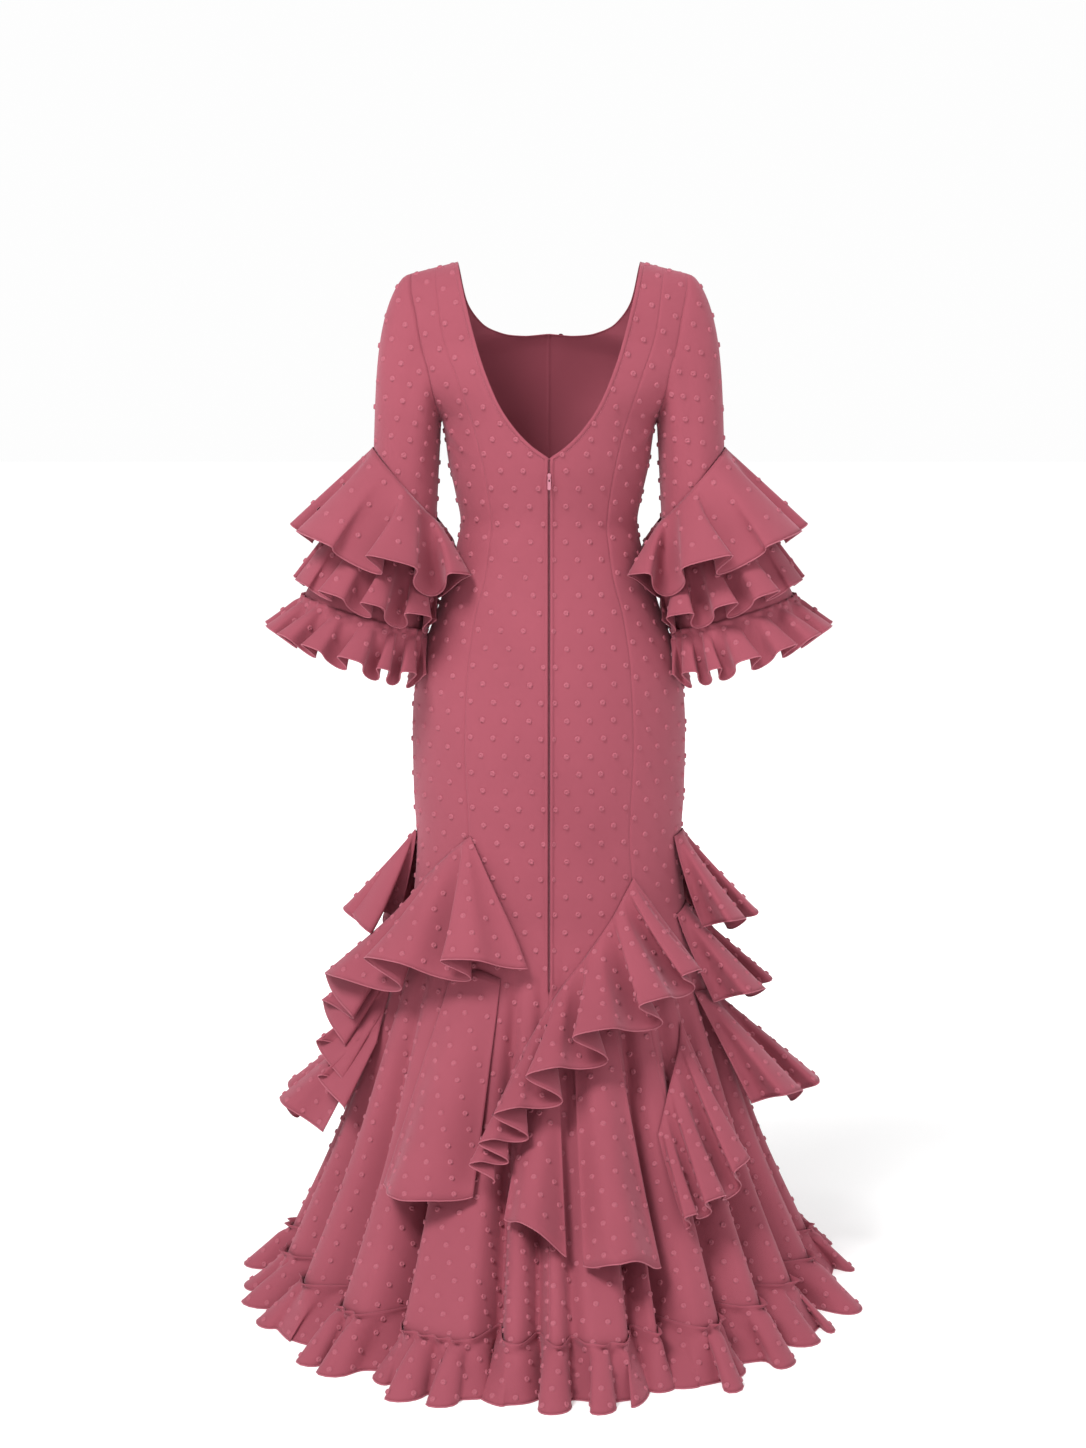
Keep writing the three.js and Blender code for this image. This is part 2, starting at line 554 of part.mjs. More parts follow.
// A strip down the centre back, lying "out" mm from the cloth's middle surface.
function zipStrip(half, out, top) {
  const rows = PANEL_ROWS.filter((z) => z <= top && z > ZIP_END).concat(ZIP_END);
  const surface = (x, z) => onBody(0, z, out).setX(x);
  const point = (u, v) => {
    const place = clamp(v, 0, 1) * (rows.length - 1);
    const i = Math.min(rows.length - 2, Math.floor(place));
    return surface(mix(-half, half, u), mix(rows[i], rows[i + 1], place - i));
  };
  return cloth(point, steps(rows.length - 1), Array(rows.length).fill(1));
}

// A flat plate with an outline in X and Z, its middle at y.
function plate(shape, thick, y) {
  const geometry = new THREE.ExtrudeGeometry(shape, { depth: thick, bevelEnabled: false, curveSegments: 6 });
  return geometry.rotateX(Math.PI / 2).translate(0, y + thick / 2, 0);
}

const wasm = await Module();
wasm.setup();

function toSolid(geometry) {
  const bare = geometry.clone();
  bare.deleteAttribute('normal');
  bare.deleteAttribute('uv');
  const merged = mergeVertices(bare);
  const triVerts = Uint32Array.from(merged.index.array);
  const vertProperties = new Float32Array(merged.attributes.position.array);
  return new wasm.Manifold(new wasm.Mesh({ numProp: 3, vertProperties, triVerts }));
}

function toGeometry(solid) {
  const mesh = solid.getMesh();
  const geometry = new THREE.BufferGeometry();
  geometry.setAttribute('position', new THREE.Float32BufferAttribute(mesh.vertProperties, 3));
  geometry.setIndex(Array.from(mesh.triVerts));
  geometry.computeVertexNormals();
  return geometry;
}

const clothFace = onBody(0, SLIDER.z).y - CLOTH / 2 - SEAM;     // where the zip's metal may start
const sliderY = clothFace - SLIDER.stand - SLIDER.thick / 2;

function sliderOutline() {
  const { width, height, z } = SLIDER;
  const shape = new THREE.Shape();
  shape.moveTo(-width * 0.32, z - height / 2);
  shape.lineTo(width * 0.32, z - height / 2);
  shape.lineTo(width / 2, z + height * 0.2);
  shape.absarc(0, z + height * 0.2, width / 2, 0, Math.PI, false);
  shape.lineTo(-width * 0.32, z - height / 2);
  return shape;
}

// The bail is a flat loop on the slider; the tab's bar turns in its eye.
function bail() {
  const shape = new THREE.Shape();
  const face = sliderY - SLIDER.thick / 2;
  const half = BAIL.eye / 2 + BAIL.wall;
  shape.moveTo(face + 0.4, BAIL.z - half);
  shape.lineTo(face - BAIL.eye / 2, BAIL.z - half);
  shape.absarc(face - BAIL.eye / 2, BAIL.z, half, -Math.PI / 2, Math.PI / 2, true);
  shape.lineTo(face + 0.4, BAIL.z + half);
  shape.lineTo(face + 0.4, BAIL.z - half);
  const eye = new THREE.Path();
  eye.absarc(face - BAIL.eye / 2 - 0.15, BAIL.z, BAIL.eye / 2, 0, 2 * Math.PI, false);
  shape.holes.push(eye);
  const geometry = new THREE.ExtrudeGeometry(shape, {
    depth: BAIL.width, bevelEnabled: false, curveSegments: 8,
  });
  // The outline's own x is the dress's y, and its y the height.
  const turned = new THREE.Matrix4().set(0, 0, 1, -BAIL.width / 2, 1, 0, 0, 0, 0, 1, 0, 0, 0, 0, 0, 1);
  return geometry.applyMatrix4(turned);
}

function tabOutline() {
  const { width, height, slot, bar } = TAB;
  const top = BAIL.z + bar / 2;
  const shape = new THREE.Shape();
  shape.moveTo(-width / 2, top);
  shape.lineTo(-width / 2, top - height + width / 2);
  shape.absarc(0, top - height + width / 2, width / 2, Math.PI, 2 * Math.PI, false);
  shape.lineTo(width / 2, top);
  shape.lineTo(-width / 2, top);
  const window = new THREE.Path();
  window.moveTo(-slot / 2, top - bar);
  window.lineTo(slot / 2, top - bar);
  window.lineTo(slot / 2, top - bar - 3.4);
  window.lineTo(-slot / 2, top - bar - 3.4);
  window.lineTo(-slot / 2, top - bar);
  shape.holes.push(window);
  return shape;
}

add('zip_coil', zipStrip(COIL_HALF, 0, V_BOTTOM), COLOUR.zip, 0.5);
add('zip_slider', toGeometry(toSolid(plate(sliderOutline(), SLIDER.thick, sliderY)).add(toSolid(bail()))),
  COLOUR.metal, 0.35, 0.4);
const eyeY = sliderY - SLIDER.thick / 2 - BAIL.eye / 2 - 0.15;
add('zip_pull_tab', plate(tabOutline(), TAB.thick, eyeY), COLOUR.metal, 0.35, 0.4);

export default dress;
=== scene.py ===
import math

import bpy
import numpy as np
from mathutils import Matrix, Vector


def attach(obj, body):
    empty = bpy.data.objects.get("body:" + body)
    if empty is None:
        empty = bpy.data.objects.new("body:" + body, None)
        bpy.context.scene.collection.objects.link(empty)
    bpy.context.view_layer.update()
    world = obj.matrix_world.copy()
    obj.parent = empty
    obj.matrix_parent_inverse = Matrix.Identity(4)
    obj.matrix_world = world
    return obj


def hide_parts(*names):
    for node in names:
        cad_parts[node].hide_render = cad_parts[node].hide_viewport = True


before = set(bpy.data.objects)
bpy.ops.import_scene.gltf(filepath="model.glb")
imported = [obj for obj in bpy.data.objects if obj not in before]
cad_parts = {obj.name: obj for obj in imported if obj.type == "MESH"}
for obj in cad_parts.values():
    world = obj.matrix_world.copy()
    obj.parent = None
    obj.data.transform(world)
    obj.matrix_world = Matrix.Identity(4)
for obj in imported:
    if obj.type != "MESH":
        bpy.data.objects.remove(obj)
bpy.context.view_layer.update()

# The looks of a flamenco dress in dotted crepe. Sizes are in millimetres unless a name says
# otherwise, and become metres when a mesh is made. "turn" is the angle round the body in degrees:
# 0 at the centre back, which faces -Y, and 90 at +X.

MM = 0.001
THICK = 0.9                   # of the crepe
SHOULDER_TOP = 8              # height of the shoulder line beside the neck
SHOULDER_SLOPE = 0.25
NECK_X = 128                  # half width of the neckline at the shoulders
YOKE_Z = -97                  # the body domes in towards the shoulder line above this
ARMPIT_Z = -211
V_BOTTOM = -263
SCOOP_BOTTOM = -120
ZIP_END = -999
FOLD_START = -940             # the skirt is smooth above this height
FOLD_GROWTH = 1.25            # over 1, its valleys deepen slowly at first
GATHER_Z = -1405              # where the hem flounce is sewn on
FLOOR_Z = -1465

# Half width and depths of the smooth body, by height.
FIGURE = np.array([
    # z, half width, depth behind, depth in front
    [SHOULDER_TOP, 236, 84, 95],
    [YOKE_Z, 232, 84, 95],
    [-134, 221, 92, 112],
    [-164, 200, 97, 121],
    [-190, 170, 99, 125],
    [ARMPIT_Z, 151, 100, 126],
    [-274, 141, 97, 121],
    [-315, 132, 91, 108],
    [-355, 125, 86, 99],
    [-394, 132, 92, 103],
    [-467, 154, 112, 111],
    [-586, 191, 132, 113],
    [-651, 195, 134, 112],
    [-732, 194, 130, 112],
    [-816, 190, 124, 114],
    [-900, 196, 128, 122],
    [-1000, 222, 156, 150],
    [-1100, 258, 203, 192],
    [-1250, 313, 305, 272],
    [GATHER_Z, 384, 462, 382],
    [FLOOR_Z, 412, 512, 412],
], float)
HALF, BACK, FRONT = 1, 2, 3

# Distance from the centre line, by height, of the princess seams, the armholes and the necklines.
PRINCESS = np.array([
    [SHOULDER_TOP, 160], [-85, 148], [-158, 126], [-225, 104], [-297, 88], [-355, 81], [-425, 89],
    [-485, 104], [-560, 114], [-665, 118], [-787, 113], [-850, 117], [-1000, 132], [GATHER_Z, 232],
], float)
ARMHOLE = np.array([
    [SHOULDER_TOP, 192], [-9, 192], [-50, 185], [YOKE_Z, 177], [-134, 168], [-164, 163],
    [-190, 158], [ARMPIT_Z, 151],
], float)
BACK_NECK = np.array([
    [SHOULDER_TOP, NECK_X], [-50, 116], [-126, 97], [-180, 75], [-221, 48], [-245, 25], [V_BOTTOM, 0],
], float)
FRONT_NECK = np.array([
    [SHOULDER_TOP, NECK_X], [-45, 118], [-84, 96], [-106, 66], [-116, 34], [SCOOP_BOTTOM, 0],
], float)

# Valleys between the organ folds of the skirt: turn, half width in degrees, depth at the hem.
VALLEYS = np.array([
    [-54, 3.6, 70], [-36, 3.0, 92], [-12.2, 2.4, 70], [-2.7, 2.1, 52], [5.0, 1.9, 34], [19, 2.2, 58],
    [26.5, 2.6, 86], [41.6, 3.0, 64], [55, 3.4, 70], [69, 3.6, 60], [85, 4, 70], [102, 3.8, 60],
    [119, 4, 74], [137, 3.8, 60], [153, 4, 70], [170, 3.8, 60], [188, 4, 72], [204, 3.8, 58],
    [221, 4, 72], [238, 3.8, 60], [255, 4, 72], [272, 3.8, 62], [289, 3.8, 68],
], float)

# Skirt ruffles. Edge rows stand along the sewn edge: their place on it from 0 to 1, the turn and
# height, the fall to the hem, the swing of the hem round the body and how far the hem stands out.
# Folds are listed along the edge by their share of its length and their depth at the hem. They lean
# over by a share of their depth, and the higher "late" is, the nearer the hem they swell.
TURN, HEIGHT, FALL, SWING, OUT = range(1, 6)
RUFFLES = {
    "long_panel_left": dict(lean=0.1, late=1.4, folds=[(1, 46)], edge=[
        [0, -39, -985, 254, -28, 14], [0.5, -28, -975, 288, -18, 20], [1, -18, -985, 250, -4, 14]]),
    "long_panel_middle": dict(lean=0.2, late=1.5, folds=[(1, 44)], edge=[
        [0, -7, -1146, 112, -24, 10], [0.5, -2, -1100, 178, -8, 16], [1, 3, -1060, 236, 0, 10]]),
    "long_panel_right": dict(lean=0.1, late=1.4, folds=[(1, 58)], edge=[
        [0, 8, -1050, 250, -8, 14], [0.5, 14, -1030, 288, 0, 22], [1, 22, -1020, 290, 10, 14]]),
    "cascade_left": dict(lean=0.9, late=1, edge=[
        [0, -35, -790, 162, 72, 22], [0.14, -41, -803, 164, 26, 34], [0.3, -55, -836, 142, 0, 40],
        [0.5, -76, -888, 146, -14, 44], [0.64, -82, -948, 116, -10, 42], [0.8, -79, -1018, 96, -4, 36],
        [1, -72, -1098, 74, 6, 26]],
        folds=[(0.16, 44), (0.2, 52), (0.2, 54), (0.17, 46), (0.15, 40), (0.12, 34)]),
    "cascade_centre": dict(lean=0.9, late=1, edge=[
        [0, 38, -850, 124, 66, 26], [0.12, 34, -868, 122, 44, 36], [0.26, 27, -902, 118, 16, 42],
        [0.45, 14, -955, 100, -6, 46], [0.62, 3, -1002, 98, -10, 44], [0.8, -8, -1075, 82, -4, 40],
        [1, -16, -1156, 62, 2, 32]],
        folds=[(0.15, 44), (0.16, 50), (0.2, 54), (0.17, 50), (0.14, 44), (0.1, 36), (0.08, 30)]),
    "cascade_right": dict(lean=0.6, late=1.1, edge=[
        [0, 50, -1052, 160, 12, 20], [0.35, 46, -1082, 164, -2, 28], [0.7, 38, -1132, 134, -12, 30],
        [1, 31, -1186, 96, -8, 22]],
        folds=[(0.45, 44), (0.33, 40), (0.22, 30)]),
    "front_ruffle_upper": dict(lean=0.6, late=1, edge=[
        [0, 68, -800, 118, 0, 27], [0.08, 84, -796, 136, 4, 52], [0.5, 180, -850, 130, 0, 48],
        [0.92, 276, -796, 134, -4, 52], [1, 279, -800, 116, -38, 14]],
        folds=[(0.09, 44), (0.11, 50), (0.1, 42), (0.12, 50), (0.09, 40), (0.11, 48), (0.1, 44), (0.09, 40),
               (0.1, 48), (0.09, 44)]),
    "front_ruffle_middle": dict(lean=0.6, late=1, edge=[
        [0, 66, -912, 112, 0, 14], [0.08, 84, -903, 130, 4, 48], [0.5, 175, -955, 126, 0, 44],
        [1, 262, -925, 118, 6, 38]],
        folds=[(0.1, 44), (0.12, 48), (0.11, 42), (0.12, 48), (0.1, 42), (0.12, 46), (0.11, 42), (0.12, 46),
               (0.1, 38)]),
    "front_ruffle_lower": dict(lean=0.6, late=1, edge=[
        [0, 64, -1020, 140, 0, 26], [0.08, 82, -1028, 150, 6, 58], [0.5, 178, -1085, 134, 0, 46],
        [0.92, 266, -1072, 142, 0, 60], [1, 282, -1080, 130, 0, 30]],
        folds=[(0.08, 46), (0.09, 52), (0.08, 44), (0.1, 50), (0.08, 42), (0.1, 50), (0.09, 44), (0.1, 48),
               (0.09, 44), (0.1, 52), (0.09, 46)]),
}
RUFFLE_START = 2.5            # sewn edge to the smooth body

SIDES = (("right", 1), ("left", -1))

# Sleeve rings: centre x and y, half width, half depth, height at the outer and the inner side.
ELBOW = (201.5, 0, 43.5, 62, -250, -357)
BELL = (263, -8, 86, 92, -463, -516)
# Tiers: rows of the frill above the stitches, place of the stitches from the elbow (0) to the bell's
# edge (1), hem ring, the share of each fold that lies behind that ring, gap to the body, and folds.
TIERS = [
    dict(number=1, header=[], top=0.0, hem=(238, -10, 101, 112, -370, -446), sink=0.2, clear=10, folds=[
        (0.19, 26), (0.15, 46), (0.12, 50), (0.14, 40), (0.12, 36), (0.15, 46), (0.13, 36)]),
    dict(number=2, header=[], top=0.45, hem=(258, -10, 86, 94, -437, -500), sink=0, clear=14, folds=[
        (0.12, 14), (0.1, 26), (0.08, 34), (0.11, 34), (0.1, 28), (0.08, 24), (0.1, 26), (0.12, 28),
        (0.1, 28), (0.09, 16)]),
    dict(number=3, header=[-0.16, -0.1, -0.05], top=1.0, clear=5,
         hem=(284, -12, 102, 120, -507, -578), sink=0.5, folds=[
        (0.08, 26), (0.06, 32), (0.07, 28), (0.08, 32), (0.05, 26), (0.07, 32), (0.06, 28), (0.08, 30),
        (0.05, 26), (0.07, 32), (0.07, 28), (0.05, 30), (0.07, 28), (0.08, 32), (0.06, 28)]),
]
TIER_CLEAR = 4                # a tier's stitches to the bell
TIER_LEAN = 0.4               # how far its folds lean over, as a share of their depth
TIER_GATHER = 3               # depth of the tucks at the stitches
TIER_FRILL = 14               # flare of the frill above them, for each unit of its height
TIER_START = 0.02             # where the first fold starts, as a share of the way round
BELL_CLEAR = 18               # gap from the bell to the body
CAP = 22                      # swell of the sleeve's outer side

FOLD_SHARP = 1.35             # over 1, valleys are narrower than ridges
CURL = 0.14                   # how far a fold rolls under at its sides, as a share of its width

HEM_FOLDS = 43
HEM_START = 2                 # the flounce's stitches to the smooth body
HEM_FLARE = 52                # how far the floor edge stands out past the gathering stitches
HEM_RIPPLE = 18               # depth of its folds at the floor
HEM_GATHER = 6                # depth of the tucks at the stitches
HEM_LEAN = 0.45               # how far its folds lean over, as a share of their depth
HEADER = 0.13                 # frill above the gathering stitches, as a share of the flounce
HEADER_FLARE = 10             # how far the frill's top edge stands out

TAU = 2 * math.pi


# ---------------------------------------------------------------- numbers

def look(rows, at, column):
    """A column's value where the first column is at, on a curve that never overshoots the rows."""
    rows = np.asarray(rows, float)
    keys, values = rows[:, 0], rows[:, column]
    if keys[0] > keys[-1]:
        keys, values = keys[::-1], values[::-1]
    at = np.clip(np.asarray(at, float), keys[0], keys[-1])
    span = np.diff(keys)
    slope = np.diff(values) / span
    product = slope[:-1] * slope[1:]
    total = np.where(product > 0, slope[:-1] + slope[1:], 1)
    bend = np.concatenate([[slope[0]], np.where(product > 0, 2 * product / total, 0), [slope[-1]]])
    i = np.clip(np.searchsorted(keys, at, side="right") - 1, 0, len(span) - 1)
    t = (at - keys[i]) / span[i]
    return (values[i] * (2 * t**3 - 3 * t**2 + 1) + bend[i] * span[i] * (t**3 - 2 * t**2 + t)
            + values[i + 1] * (3 * t**2 - 2 * t**3) + bend[i + 1] * span[i] * (t**3 - t**2))


def mix(a, b, t):
    """From a, where t is 0, to b, where it is 1."""
    return a + (b - a) * t


def folded(folds, u, ring=False):
    """Where a run of uneven folds stands at u: place along the edge, depth, a wave from -1 to 1, and the
    curl that swings each fold's sides under it, as a share of the edge."""
    shares = np.array([share for share, _ in folds])
    depths = np.array([depth for _, depth in folds], float)
    count = len(folds)
    ends = np.concatenate([[0], np.cumsum(shares)]) / shares.sum()
    place = u * count
    along = look(np.stack([np.arange(count + 1), ends], 1), place, 1) if count > 1 else u
    at = np.arange(-0.5, count + 1)
    before, after = (-1, 0) if ring else (0, -1)
    depth = look(np.stack([at, [depths[before], *depths, depths[after]]], 1), place, 1)
    share = look(np.stack([at, [shares[before], *shares, shares[after]]], 1), place, 1) / shares.sum()
    wave = 1 - 2 * (0.5 + 0.5 * np.cos(TAU * place)) ** FOLD_SHARP
    return along, depth, wave, CURL * share * np.sin(2 * TAU * place)


def smooth(t):
    """An even step from 0 to 1."""
    t = np.clip(t, 0, 1)
    return t * t * (3 - 2 * t)


# ---------------------------------------------------------------- the body of the dress

def section(turn, z):
    """Half width and depth of the smooth body at a height, on the side that a turn faces."""
    dome = np.sqrt(np.clip(1 - (np.clip(z - YOKE_Z, 0, None) / (SHOULDER_TOP - YOKE_Z)) ** 2, 0, 1))
    behind = np.cos(np.radians(turn)) > 0
    deep = np.where(behind, look(FIGURE, z, BACK), look(FIGURE, z, FRONT))
    return look(FIGURE, z, HALF), deep * dome


def fold_depth(turn, z):
    """How far the valleys between the skirt's organ folds sink in."""
    grown = np.clip((FOLD_START - z) / (FOLD_START - GATHER_Z), 0, 1.15) ** FOLD_GROWTH
    total = 0.0
    for at, width, depth in VALLEYS:
        away = (turn - at + 180) % 360 - 180
        total = total + depth * np.exp(-((away / width) ** 2))
    return total * grown


def on_body(turn, z, out=0.0):
    """The point at a turn and height of the smooth body, moved out from it, with sloping shoulders."""
    turn, z, out = np.broadcast_arrays(np.asarray(turn, float), z, out)
    half, deep = section(turn, z)
    s, c = np.sin(np.radians(turn)), np.cos(np.radians(turn))
    nx, ny = s * deep, -c * half
    length = np.maximum(np.hypot(nx, ny), 1e-6)
    x = half * s + nx / length * out
    droop = SHOULDER_SLOPE * (np.abs(x) - NECK_X) * smooth((z - ARMPIT_Z) / (YOKE_Z - ARMPIT_Z))
    return np.stack([x, -deep * c + ny / length * out, z - droop], -1)


def turn_of(x, z):
    """The turn behind the body at a distance from the centre line."""
    return np.degrees(np.arcsin(np.clip(x / look(FIGURE, z, HALF), -1, 1)))


def radius(turn, z):
    """Length along the body for each radian of turn."""
    half, deep = section(turn, z)
    return np.maximum(np.hypot(half * np.cos(np.radians(turn)), deep * np.sin(np.radians(turn))), 1)


# ---------------------------------------------------------------- meshes

def mesh_object(name, points, faces, surface, smooth_shaded=True):
    """An object made from points in millimetres, which rides on the dress."""
    mesh = bpy.data.meshes.new(name)
    mesh.from_pydata((np.asarray(points) * MM).tolist(), [], [tuple(map(int, f)) for f in faces])
    mesh.update()
    if smooth_shaded:
        mesh.shade_smooth()
    mesh.materials.append(surface)
    obj = bpy.data.objects.new(name, mesh)
    bpy.context.scene.collection.objects.link(obj)
    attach(obj, "dress")
    return obj


def grid_faces(rows, columns, closed):
    """Quads of a grid of points, seen from outside; a closed grid's last column meets its first."""
    i, j = np.meshgrid(np.arange(rows - 1), np.arange(columns if closed else columns - 1), indexing="ij")
    k = (j + 1) % columns
    return np.stack([i * columns + j, (i + 1) * columns + j, (i + 1) * columns + k, i * columns + k],
                    -1).reshape(-1, 4)


def grid_normals(grid):
    """Outward directions at the points of a grid."""
    normal = np.cross(np.gradient(grid, axis=0), np.gradient(grid, axis=1))
    return normal / np.maximum(np.linalg.norm(normal, axis=-1, keepdims=True), 1e-9)


def sheet_object(name, grid, closed=False):
    """A cloth sheet from a grid of points (rows, columns, xyz), with the cloth's thickness."""
    rows, columns, _ = grid.shape
    obj = mesh_object(name, grid.reshape(-1, 3), grid_faces(rows, columns, closed), CREPE)
    solid = obj.modifiers.new("thickness", "SOLIDIFY")
    solid.thickness = THICK * MM
    solid.offset = 0
    return obj


def tube_mesh(path, width, sides, closed):
    """Points and quads of a round cord laid along a path."""
    path = np.asarray(path)
    along = np.roll(path, -1, 0) - np.roll(path, 1, 0) if closed else np.gradient(path, axis=0)
    along /= np.maximum(np.linalg.norm(along, axis=1, keepdims=True), 1e-9)
    up = np.tile([0.0, 0.0, 1.0], (len(path), 1))
    side = np.cross(along, up)
    side /= np.maximum(np.linalg.norm(side, axis=1, keepdims=True), 1e-6)
    up = np.cross(side, along)
    angles = np.arange(sides) / sides * TAU
    circles = path[:, None] + width * (np.cos(angles)[None, :, None] * side[:, None]
                                       + np.sin(angles)[None, :, None] * up[:, None])
    return circles.reshape(-1, 3), tube_faces(len(path), sides, closed)


def tube_faces(length, sides, closed):
    i, j = np.meshgrid(np.arange(length if closed else length - 1), np.arange(sides), indexing="ij")
    n, k = (i + 1) % length, (j + 1) % sides
    corners = np.stack([i * sides + j, i * sides + k, n * sides + k, n * sides + j], -1)
    quads = corners.reshape(-1, 4).tolist()
    if not closed:
        quads += [list(range(sides))[::-1], [(length - 1) * sides + s for s in range(sides)]]
    return quads


# ---------------------------------------------------------------- plumeti dots

DOT_ACROSS = 34               # between dots in a row
DOT_DOWN = 25                 # between rows
DOT_RINGS = np.array([[1.1, 0.7], [3.0, 2.2], [4.2, 0.0]])      # radius, height above the cloth
DOT_MIDDLE = 0.4              # height of the dimple in its middle
DOT_SIDES = 8
DOT_MARGIN = 6                # from the last dots to the hem, and a little less at the sides
DOT_STRAY = 1.1


def dot_places(grid, seed):
    """Staggered places over a grid of points, evenly spaced along the cloth: point, normal, side."""
    rng = np.random.default_rng(seed)
    normals = grid_normals(grid)
    middle = grid[:, grid.shape[1] // 2]
    down = np.concatenate([[0], np.cumsum(np.linalg.norm(np.diff(middle, axis=0), axis=1))])
    side_margin = DOT_MARGIN * 0.7
    found = []
    for number, at in enumerate(np.arange(DOT_DOWN * 0.5, down[-1] - DOT_MARGIN, DOT_DOWN)):
        row = np.interp(at, down, np.arange(len(down)))
        i, t = int(row), row - int(row)
        i2 = min(i + 1, len(grid) - 1)
        line, normal = mix(grid[i], grid[i2], t), mix(normals[i], normals[i2], t)
        length = np.concatenate([[0], np.cumsum(np.linalg.norm(np.diff(line, axis=0), axis=1))])
        first = DOT_ACROSS * (0.25 + 0.5 * (number % 2))
        places = np.arange(first, length[-1] - side_margin, DOT_ACROSS)
        places = places + rng.normal(0, DOT_STRAY, len(places))
        for place in places[places > side_margin]:
            column = np.interp(place, length, np.arange(len(length)))
            j, s = int(column), column - int(column)
            j2 = min(j + 1, line.shape[0] - 1)
            found.append((mix(line[j], line[j2], s), mix(normal[j], normal[j2], s), line[j2] - line[j]))
    return found


def dots_object(name, grid, seed):
    """All the raised dots of a piece, each a low dimpled button whose lighter colour is a painted
    highlight.
    """
    points, faces = [], []
    angles = np.arange(DOT_SIDES) / DOT_SIDES * TAU
    for p, normal, along in dot_places(grid, seed):
        n = normal / max(np.linalg.norm(normal), 1e-9)
        a = along - n * np.dot(along, n)
        a /= max(np.linalg.norm(a), 1e-9)
        b = np.cross(n, a)
        base = len(points)
        points.append(p + n * (THICK / 2 + DOT_MIDDLE))
        for wide, high in DOT_RINGS:
            points += list(p + n * (THICK / 2 * (1 if high else 0.6) + high)
                           + wide * (np.cos(angles)[:, None] * a + np.sin(angles)[:, None] * b))
        for s in range(DOT_SIDES):
            t = (s + 1) % DOT_SIDES
            faces.append((base, base + 1 + s, base + 1 + t))
            for level in range(len(DOT_RINGS) - 1):
                low = base + 1 + level * DOT_SIDES
                faces.append((low + s, low + DOT_SIDES + s, low + DOT_SIDES + t, low + t))
    obj = mesh_object(name, points, faces, DOT)
    return obj


HEM_ROLL = 1.0
HEM_SIDES = 6


def hem_object(name, line, closed):
    """The rolled edge of a piece, a thin cord along its hem."""
    points, faces = tube_mesh(line, HEM_ROLL, HEM_SIDES, closed)
    obj = mesh_object(name, points, faces, HEM)
    return obj


# ---------------------------------------------------------------- materials

def material(name, colour, rough, build):
    """A material whose nodes a function of its own adds to."""
    made = bpy.data.materials.new(name)
    made.use_nodes = True
    nodes, links = made.node_tree.nodes, made.node_tree.links
    shader = nodes["Principled BSDF"]
    shader.inputs["Base Color"].default_value = (*colour, 1)
    shader.inputs["Roughness"].default_value = rough
    build(nodes, links, shader)
    return made


def node(nodes, kind, **values):
    """A new node; a value goes to the input of that name, or else to the node's own setting."""
    made = nodes.new(kind)
    for key, value in values.items():
        if key in made.inputs:
            made.inputs[key].default_value = value
        else:
            setattr(made, key, value)
    return made


def map_range(nodes, from_min, from_max, to_min=0.0, to_max=1.0):
    ends = {"From Min": from_min, "From Max": from_max, "To Min": to_min, "To Max": to_max}
    return node(nodes, "ShaderNodeMapRange", **ends)


def crepe_look(light, dark):
    """A fine diagonal crepe weave, with slow uneven tone and a soft sheen."""
    def build(nodes, links, shader):
        place = node(nodes, "ShaderNodeTexCoord")
        tone = node(nodes, "ShaderNodeTexNoise", Scale=9.0, Detail=4.0)
        fine = node(nodes, "ShaderNodeTexNoise", Scale=900.0, Detail=2.0)
        turned = node(nodes, "ShaderNodeMapping")
        turned.inputs["Rotation"].default_value = (0.3, 0.75, 0.4)
        weave = node(nodes, "ShaderNodeTexWave", Scale=520.0, Distortion=3.0, Detail=1.5)
        weave.inputs["Detail Scale"].default_value = 2.0
        colour = node(nodes, "ShaderNodeMix", data_type="RGBA")
        colour.inputs[6].default_value = (*dark, 1)
        colour.inputs[7].default_value = (*light, 1)
        blend = node(nodes, "ShaderNodeMath", operation="MULTIPLY_ADD")
        blend.inputs[1].default_value = 0.28
        rise = node(nodes, "ShaderNodeMath", operation="MULTIPLY_ADD")
        rise.inputs[1].default_value = 0.5
        bump = node(nodes, "ShaderNodeBump", Strength=0.35, Distance=0.0003)
        for texture in (tone, fine, turned):
            links.new(place.outputs["Object"], texture.inputs["Vector"])
        links.new(turned.outputs["Vector"], weave.inputs["Vector"])
        links.new(weave.outputs["Fac"], blend.inputs[0])
        links.new(tone.outputs["Fac"], blend.inputs[2])
        links.new(blend.outputs[0], colour.inputs[0])
        links.new(colour.outputs[2], shader.inputs["Base Color"])
        links.new(fine.outputs["Fac"], rise.inputs[0])
        links.new(weave.outputs["Fac"], rise.inputs[2])
        links.new(rise.outputs[0], bump.inputs["Height"])
        links.new(bump.outputs["Normal"], shader.inputs["Normal"])
        shader.inputs["Sheen Weight"].default_value = 0.2
        shader.inputs["Sheen Roughness"].default_value = 0.45
        shader.inputs["Sheen Tint"].default_value = (1.0, 0.6, 0.7, 1)
        shader.inputs["Specular IOR Level"].default_value = 0.3
    return build


def metal_look(nodes, links, shader):
    """Die-cast metal in rose enamel, with faint scratches in its gloss."""
    place = node(nodes, "ShaderNodeTexCoord")
    worn = node(nodes, "ShaderNodeTexNoise", Scale=900.0, Detail=5.0)
    gloss = map_range(nodes, 0, 1, 0.22, 0.45)
    bump = node(nodes, "ShaderNodeBump", Strength=0.2, Distance=0.0001)
    links.new(place.outputs["Object"], worn.inputs["Vector"])
    links.new(worn.outputs["Fac"], gloss.inputs["Value"])
    links.new(gloss.outputs["Result"], shader.inputs["Roughness"])
    links.new(worn.outputs["Fac"], bump.inputs["Height"])
    links.new(bump.outputs["Normal"], shader.inputs["Normal"])
    shader.inputs["Metallic"].default_value = 0.55


